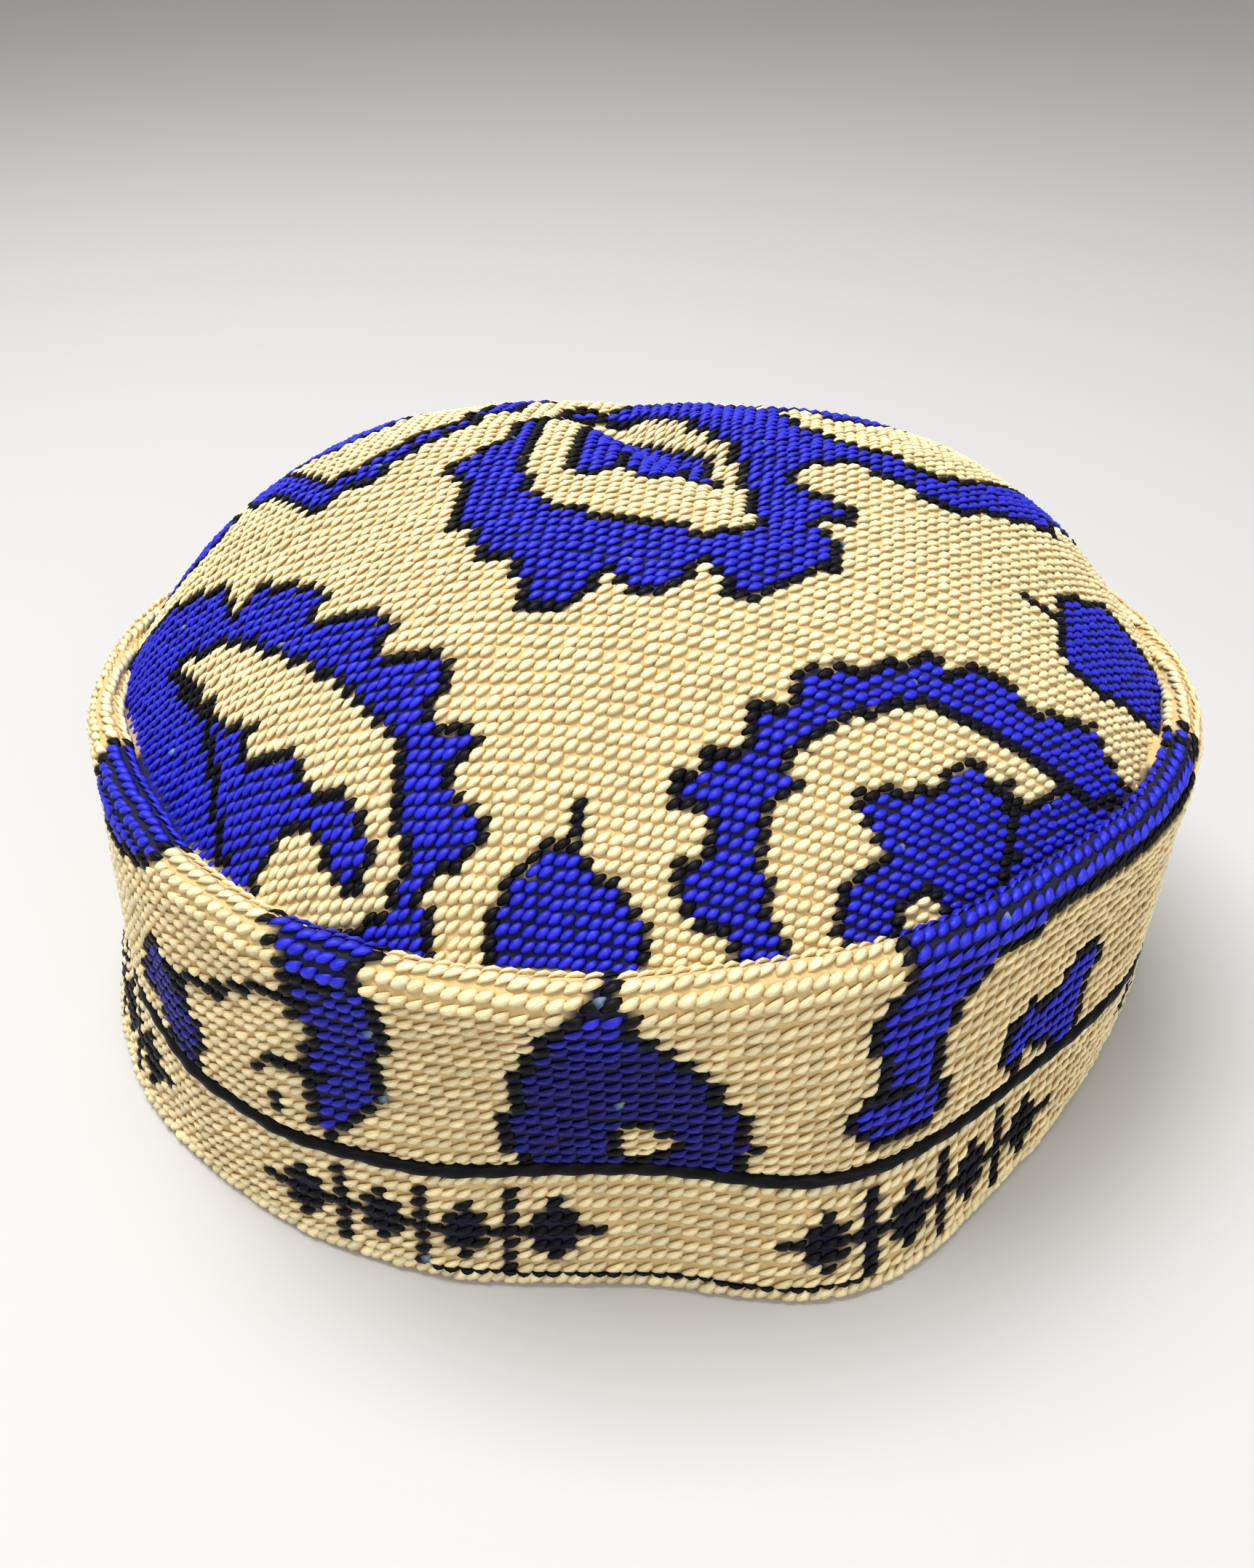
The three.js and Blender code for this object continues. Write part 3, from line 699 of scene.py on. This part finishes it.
def silk_material(name, pale, shade_and_streak, sheen, gloss, night, glints):
    """Floss silk: a painted highlight on the round of a stitch, painted shade where it dives in and on its
    flanks, with fine filaments along it.
    """
    made, nodes, links, shader = new_material(name)
    grain = nodes.new("ShaderNodeUVMap")
    grain.uv_map = "grain"
    stretch = nodes.new("ShaderNodeMapping")
    stretch.inputs["Scale"].default_value = (FILAMENTS["across"], FILAMENTS["along"], 1)
    links.new(grain.outputs["UV"], stretch.inputs["Vector"])
    thread = nodes.new("ShaderNodeAttribute")
    thread.attribute_name = "thread"
    parts = nodes.new("ShaderNodeSeparateColor")
    links.new(thread.outputs["Color"], parts.inputs["Color"])
    filaments = nodes.new("ShaderNodeTexNoise")
    filaments.noise_dimensions = "4D"
    filaments.inputs["Scale"].default_value = 1
    filaments.inputs["Detail"].default_value = 2
    links.new(stretch.outputs["Vector"], filaments.inputs["Vector"])
    spread = nodes.new("ShaderNodeMath")
    spread.operation = "MULTIPLY"
    spread.inputs[1].default_value = FILAMENTS["seeds"]
    links.new(parts.outputs["Red"], spread.inputs[0])
    links.new(spread.outputs["Value"], filaments.inputs["W"])

    along = nodes.new("ShaderNodeSeparateXYZ")
    links.new(grain.outputs["UV"], along.inputs["Vector"])
    # Painted shade at both ends of a stitch and a painted highlight along its middle
    end_shade_ramp = nodes.new("ShaderNodeValToRGB")
    end_shade_ramp.color_ramp.elements[0].position = 0.04
    end_shade_ramp.color_ramp.elements[0].color = shade_and_streak
    end_shade_ramp.color_ramp.elements[1].position = 0.96
    end_shade_ramp.color_ramp.elements[1].color = shade_and_streak
    for place in (0.3, 0.72):
        end_shade_ramp.color_ramp.elements.new(place).color = pale
    links.new(along.outputs["Y"], end_shade_ramp.inputs["Fac"])

    streak = nodes.new("ShaderNodeMix")
    streak.data_type = "RGBA"
    streak.inputs["B"].default_value = shade_and_streak
    links.new(end_shade_ramp.outputs["Color"], streak.inputs["A"])
    weaken = nodes.new("ShaderNodeMapRange")
    weaken.inputs["From Min"].default_value = FILAMENTS["from"]
    weaken.inputs["From Max"].default_value = FILAMENTS["to"]
    weaken.inputs["To Max"].default_value = FILAMENTS["strength"]
    links.new(filaments.outputs["Fac"], weaken.inputs["Value"])
    links.new(weaken.outputs["Result"], streak.inputs["Factor"])

    # Painted shade on a stitch's flanks, away from its round top
    off_top = nodes.new("ShaderNodeMath")
    off_top.operation = "SUBTRACT"
    off_top.inputs[1].default_value = ROUND_TOP
    links.new(along.outputs["X"], off_top.inputs[0])
    either_way = nodes.new("ShaderNodeMath")
    either_way.operation = "ABSOLUTE"
    links.new(off_top.outputs["Value"], either_way.inputs[0])
    flank_shade = nodes.new("ShaderNodeMapRange")
    flank_shade.inputs["From Min"].default_value = FLANK_SHADE_SPAN[0]
    flank_shade.inputs["From Max"].default_value = FLANK_SHADE_SPAN[1]
    flank_shade.inputs["To Max"].default_value = FLANK_SHADE_STRENGTH
    links.new(either_way.outputs["Value"], flank_shade.inputs["Value"])
    sided = nodes.new("ShaderNodeMix")
    sided.data_type = "RGBA"
    sided.inputs["B"].default_value = shade_and_streak
    links.new(flank_shade.outputs["Result"], sided.inputs["Factor"])
    links.new(streak.outputs["Result"], sided.inputs["A"])

    tone = nodes.new("ShaderNodeMapRange")
    tone.inputs["To Min"].default_value = TONES[0]
    tone.inputs["To Max"].default_value = TONES[1]
    links.new(parts.outputs["Red"], tone.inputs["Value"])
    toned = nodes.new("ShaderNodeVectorMath")
    toned.operation = "SCALE"
    links.new(sided.outputs["Result"], toned.inputs[0])
    links.new(tone.outputs["Result"], toned.inputs["Scale"])

    darker = nodes.new("ShaderNodeMix")
    darker.data_type = "RGBA"
    darker.inputs["B"].default_value = night
    links.new(parts.outputs["Green"], darker.inputs["Factor"])
    links.new(toned.outputs["Vector"], darker.inputs["A"])
    result = darker
    if glints:
        tip = nodes.new("ShaderNodeMapRange")
        tip.inputs["From Min"].default_value = 0.55
        tip.inputs["From Max"].default_value = 0.8
        links.new(along.outputs["Y"], tip.inputs["Value"])
        part = nodes.new("ShaderNodeMath")
        part.operation = "MULTIPLY"
        links.new(tip.outputs["Result"], part.inputs[0])
        links.new(parts.outputs["Blue"], part.inputs[1])
        result = nodes.new("ShaderNodeMix")
        result.data_type = "RGBA"
        result.inputs["B"].default_value = GLINT
        links.new(part.outputs["Value"], result.inputs["Factor"])
        links.new(darker.outputs["Result"], result.inputs["A"])
    links.new(result.outputs["Result"], shader.inputs["Base Color"])

    bump = nodes.new("ShaderNodeBump")
    bump.inputs["Strength"].default_value = 0.6
    bump.inputs["Distance"].default_value = 0.00012
    links.new(filaments.outputs["Fac"], bump.inputs["Height"])
    links.new(bump.outputs["Normal"], shader.inputs["Normal"])
    shader.inputs["Roughness"].default_value = 0.45
    shader.inputs["Sheen Weight"].default_value = sheen
    shader.inputs["Specular IOR Level"].default_value = gloss
    return made


silk = {name: silk_material(f"{name}_silk", night=NAVY_SILK, glints=name != "cream", **row)
        for name, row in SILKS.items()}
SILK_OF = {"cream": (CREAM,), "blue": (BLUE, NAVY, DUSK), "black": (BLACK,)}
crown_kept = dome_rim(crown_x.ravel(), crown_y.ravel()).reshape(crown_x.shape) < 1.0
for colour, kinds in SILK_OF.items():
    for half, sign in (("front", -1), ("back", 1)):
        chosen = crown_kept & np.isin(crown_silk, kinds) & (crown_y * sign > 0)
        cells = np.stack([crown_x[chosen], crown_y[chosen]], axis=1)
        no_night = np.zeros(len(cells))
        crown_stitches_mesh = sew(f"crown_{half}_{colour}_stitches", dome, cells, no_night, **CROWN_GRAIN)
        crown_stitches_mesh.materials.append(silk[colour])
        crown_stitches = bpy.data.objects.new(crown_stitches_mesh.name, crown_stitches_mesh)
        bpy.context.scene.collection.objects.link(crown_stitches)
        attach(crown_stitches, "root")

for colour, kinds in SILK_OF.items():
    for half, sign in (("front", -1), ("back", 1)):
        in_half = np.sin(column_angle(wall_x.ravel())).reshape(wall_x.shape) * sign > 0
        chosen = np.isin(wall_silk, kinds) & in_half & (wall_y < WALL_TOP_ROW)
        cells = np.stack([wall_x[chosen], wall_y[chosen]], axis=1)
        fade = np.clip((NAVY_ROWS[1] - cells[:, 1]) / (NAVY_ROWS[1] - NAVY_ROWS[0]), 0, 1)
        share = (wall_silk[chosen] == NAVY) + DUSK_SHARE * (wall_silk[chosen] == DUSK)
        night = fade * share * chance.uniform(0.75, 1.0, len(cells))
        wall_stitches_mesh = sew(f"wall_{half}_{colour}_stitches", wall, cells, night, **WALL_GRAIN)
        wall_stitches_mesh.materials.append(silk[colour])
        wall_stitches = bpy.data.objects.new(wall_stitches_mesh.name, wall_stitches_mesh)
        bpy.context.scene.collection.objects.link(wall_stitches)
        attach(wall_stitches, "root")

# Band
# A strip of the same padded cotton sewn under the wall, eight rows of stitches high, with seven
# chains of four black diamond flowers and three upright bars round the cream ground.
BAND_BOTTOM = 2.9
BAND_TOP = 24.0
BAND_ROWS = 8
BAND_LIP_ROW = 0.05
CHAIN_COLUMNS = 36
CHAIN_START = 166
CHAIN_REACH = (-3, 22)
FLOWERS = 4
FLOWER_STEP = 6
FLOWER_ROW = 3
FLOWER_HALVES = {-2: 0, -1: 1, 0: 2, 1: 1, 2: 0}
BAR_ROWS = range(0, 7)


def band(u, v):
    """Point of the band, from the column and the row above the hem."""
    angle = column_angle(u)
    height = BAND_BOTTOM + (BAND_TOP - BAND_BOTTOM) * v / BAND_ROWS
    hem, seam = around(HEM_RADII, angle), around(SEAM_RADII, angle)
    tuck = SEAM_TUCK * np.clip(1 - (SEAM_HEIGHT - height) / SEAM_TUCK_REACH, 0, 1) ** 2
    radius = hem + (seam - hem) * height / SEAM_HEIGHT - tuck
    radius = radius + unevenness(radius * np.cos(angle), radius * np.sin(angle), height)
    return np.stack([radius * np.cos(angle), radius * np.sin(angle) + CENTRE_Y, height], axis=1)


def band_section(share, down):
    """Outer face of the band's cloth, from the lip at the seam down to the hem."""
    column = np.interp(np.mod(share, 1), ring_angles / math.tau, ring_columns)
    row = (BAND_ROWS - BAND_LIP_ROW) * (1 - down) + BAND_LIP_ROW
    return band(column, row) - CLOTH_UNDER_STITCHES * facing(band, column, row)


band_silk = np.full((COLUMNS, BAND_ROWS), CREAM)
for chain in range(COLUMNS // CHAIN_COLUMNS):
    start = CHAIN_START + chain * CHAIN_COLUMNS
    for flower in range(FLOWERS):
        middle = start + FLOWER_STEP * flower
        for row, half in FLOWER_HALVES.items():
            for column in range(middle - half, middle + half + 1):
                band_silk[column % COLUMNS, FLOWER_ROW + row] = BLACK
    for column in range(start + CHAIN_REACH[0], start + CHAIN_REACH[1]):
        band_silk[column % COLUMNS, FLOWER_ROW] = BLACK
    for bar in range(FLOWERS - 1):
        for row in BAR_ROWS:
            band_silk[(start + FLOWER_STEP // 2 + FLOWER_STEP * bar) % COLUMNS, row] = BLACK


def band_is_dark(spots):
    """1 for the band's cloth near black stitches."""
    share = np.mod(np.arctan2(spots[:, 1] - CENTRE_Y, spots[:, 0]) / math.tau, 1)
    column = np.interp(share, ring_angles / math.tau, ring_columns).astype(int) % COLUMNS
    row = (spots[:, 2] - BAND_BOTTOM) / (BAND_TOP - BAND_BOTTOM) * BAND_ROWS
    row = np.clip(row, 0, BAND_ROWS - 1).astype(int)
    return band_silk[column, row] == BLACK


band_mesh = sewn_shell("band_cloth", band_section, across=252, along=12)
paint_gap_shade(band_mesh, band_is_dark)
band_mesh.materials.append(gap_shade_cotton)
band_mesh.materials.append(lining_cotton)
band_cloth = bpy.data.objects.new("band_cloth", band_mesh)
bpy.context.scene.collection.objects.link(band_cloth)
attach(band_cloth, "root")
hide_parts("band")

band_x, band_y = np.meshgrid(np.arange(COLUMNS) + 0.5, np.arange(BAND_ROWS) + 0.5, indexing="ij")
for colour, kind in (("cream", CREAM), ("black", BLACK)):
    chosen = band_silk == kind
    cells = np.stack([band_x[chosen], band_y[chosen]], axis=1)
    band_stitches_mesh = sew(f"band_{colour}_stitches", band, cells, np.zeros(len(cells)), **WALL_GRAIN)
    band_stitches_mesh.materials.append(silk[colour])
    band_stitches = bpy.data.objects.new(band_stitches_mesh.name, band_stitches_mesh)
    bpy.context.scene.collection.objects.link(band_stitches)
    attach(band_stitches, "root")

# Seam cord
# A black silk cord laid in the groove between wall and band and couched down: three fine strands
# that twist slowly round each other.
CORD_RADIUS = 1.25
CORD_INSET = 0.6
CORD_STRANDS = 3
STRAND_SWELL = 0.09
CORD_TURNS = 90
CORD_SIDES = 18
CORD_STEPS = 720
CORD_PALE = (0.006, 0.006, 0.008, 1)
CORD_DEEP = (0.002, 0.002, 0.003, 1)
CORD_GLOSS = 0.12


def cord_section(share, round_it):
    """Skin of the cord: its strands stand out a little and twist as it runs round the cap."""
    angle, turn = share * math.tau, round_it * math.tau
    swell = 1 + STRAND_SWELL * np.cos(CORD_STRANDS * turn - CORD_TURNS * angle)
    middle = around(SEAM_RADII, angle) - CORD_INSET
    middle = middle + unevenness(middle * np.cos(angle), middle * np.sin(angle), SEAM_HEIGHT)
    radius = middle + CORD_RADIUS * swell * np.cos(turn)
    height = SEAM_HEIGHT + CORD_RADIUS * swell * np.sin(turn)
    return np.stack([radius * np.cos(angle), radius * np.sin(angle) + CENTRE_Y, height], axis=1)


def closed_ring(name, point_at, steps, sides):
    """A closed ring: a grid laid on its skin and welded both ways."""
    work = welded_grid(point_at, steps, sides)
    for face in work.faces:
        face.smooth = True
    mesh = bpy.data.meshes.new(name)
    work.to_mesh(mesh)
    work.free()
    return mesh


cord_silk, nodes, links, shader = new_material("cord_silk")
cord_place = nodes.new("ShaderNodeTexCoord")
cord_fibres = nodes.new("ShaderNodeTexNoise")
cord_fibres.inputs["Scale"].default_value = 1400
cord_fibres.inputs["Detail"].default_value = 3
links.new(cord_place.outputs["Object"], cord_fibres.inputs["Vector"])
cord_mix = nodes.new("ShaderNodeMix")
cord_mix.data_type = "RGBA"
cord_mix.inputs["A"].default_value = CORD_DEEP
cord_mix.inputs["B"].default_value = CORD_PALE
links.new(cord_fibres.outputs["Fac"], cord_mix.inputs["Factor"])
links.new(cord_mix.outputs["Result"], shader.inputs["Base Color"])
cord_bump = nodes.new("ShaderNodeBump")
cord_bump.inputs["Strength"].default_value = 0.5
cord_bump.inputs["Distance"].default_value = 0.0001
links.new(cord_fibres.outputs["Fac"], cord_bump.inputs["Height"])
links.new(cord_bump.outputs["Normal"], shader.inputs["Normal"])
shader.inputs["Roughness"].default_value = 0.5
shader.inputs["Specular IOR Level"].default_value = CORD_GLOSS
seam_cord_mesh = closed_ring("seam_cord_strands", cord_section, CORD_STEPS, CORD_SIDES)
seam_cord_mesh.materials.append(cord_silk)
seam_cord_strands = bpy.data.objects.new("seam_cord_strands", seam_cord_mesh)
bpy.context.scene.collection.objects.link(seam_cord_strands)
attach(seam_cord_strands, "root")
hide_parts("seam_cord")

# Hem edging
# The rolled lower edge that the cap stands on, whipped over with slanting cream silk so that it
# looks like a rope, and pressed flat underneath. A black thread runs above it for part of the front.
HEM_HEIGHT = 2.7
HEM_HALF_WIDTH = 1.25
HEM_MIDDLE_INSET = 1.2
HEM_COLUMNS = 288
HEM_GRAIN = {"lean": (0.85, 0.5), "half_width": 0.9, "half_thickness": 0.56}
HEM_SWEEP = (-55, 125)
# How far the roll and its whipping lie inside the hem's outline, and how much of the cloth's waves it has
ROLL_DEPTH = 0.25
WHIPPING_DEPTH = 0.12
HEM_WAVES = 0.4
HEM_SHADE = (0.4, 0.25, 0.09, 1)
THREAD_COLUMNS = range(176, 205)
THREAD_ROW = 0.12
THREAD_GRAIN = {"lean": (0.62, 0.0), "half_width": 0.3, "half_thickness": 0.75}


def hem_skin(column, turn_degrees, depth):
    """Point of the rolled edge, at a turn round it from facing outwards and at a depth inside its outline."""
    angle = column_angle(column * COLUMNS / HEM_COLUMNS)
    turn = np.radians(turn_degrees)
    middle = around(HEM_RADII, angle) - HEM_MIDDLE_INSET
    middle = middle + HEM_WAVES * unevenness(middle * np.cos(angle), middle * np.sin(angle), 0 * angle)
    radius = middle + (HEM_HALF_WIDTH - depth) * np.cos(turn)
    height = np.maximum(HEM_HEIGHT / 2 + (HEM_HEIGHT / 2 - depth) * np.sin(turn), FLOOR_CLEARANCE)
    return np.stack([radius * np.cos(angle), radius * np.sin(angle) + CENTRE_Y, height], axis=1)


def hem_core(share, round_it):
    """Skin of the rolled cloth under the whipping."""
    return hem_skin(share * HEM_COLUMNS, round_it * 360, ROLL_DEPTH)


def whipping(u, v):
    """The rolled edge as a surface for stitches: v runs from under the edge over to its inner top."""
    return hem_skin(u, HEM_SWEEP[0] + (HEM_SWEEP[1] - HEM_SWEEP[0]) * v, WHIPPING_DEPTH)


# The roll's paler threads take the same golden painted shade as the cloth between the crown's stitches
hem_cotton = lining_material("hem_cotton", GAP_SHADE_CREAM, HEM_SHADE)
hem_mesh = closed_ring("hem_roll", hem_core, 360, 14)
hem_mesh.materials.append(hem_cotton)
hem_roll = bpy.data.objects.new("hem_roll", hem_mesh)
bpy.context.scene.collection.objects.link(hem_roll)
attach(hem_roll, "root")
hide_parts("hem_edging")

hem_cells = np.stack([np.arange(HEM_COLUMNS) + 0.5, np.full(HEM_COLUMNS, 0.5)], axis=1)
whipping_mesh = sew("hem_whipping_stitches", whipping, hem_cells, np.zeros(HEM_COLUMNS), **HEM_GRAIN)
whipping_mesh.materials.append(silk["cream"])
hem_whipping = bpy.data.objects.new("hem_whipping_stitches", whipping_mesh)
bpy.context.scene.collection.objects.link(hem_whipping)
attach(hem_whipping, "root")

thread_cells = np.array([(column + 0.5, THREAD_ROW) for column in THREAD_COLUMNS])
thread_mesh = sew("hem_black_thread", band, thread_cells, np.zeros(len(thread_cells)), **THREAD_GRAIN)
thread_mesh.materials.append(silk["black"])
hem_thread = bpy.data.objects.new("hem_black_thread", thread_mesh)
bpy.context.scene.collection.objects.link(hem_thread)
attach(hem_thread, "root")
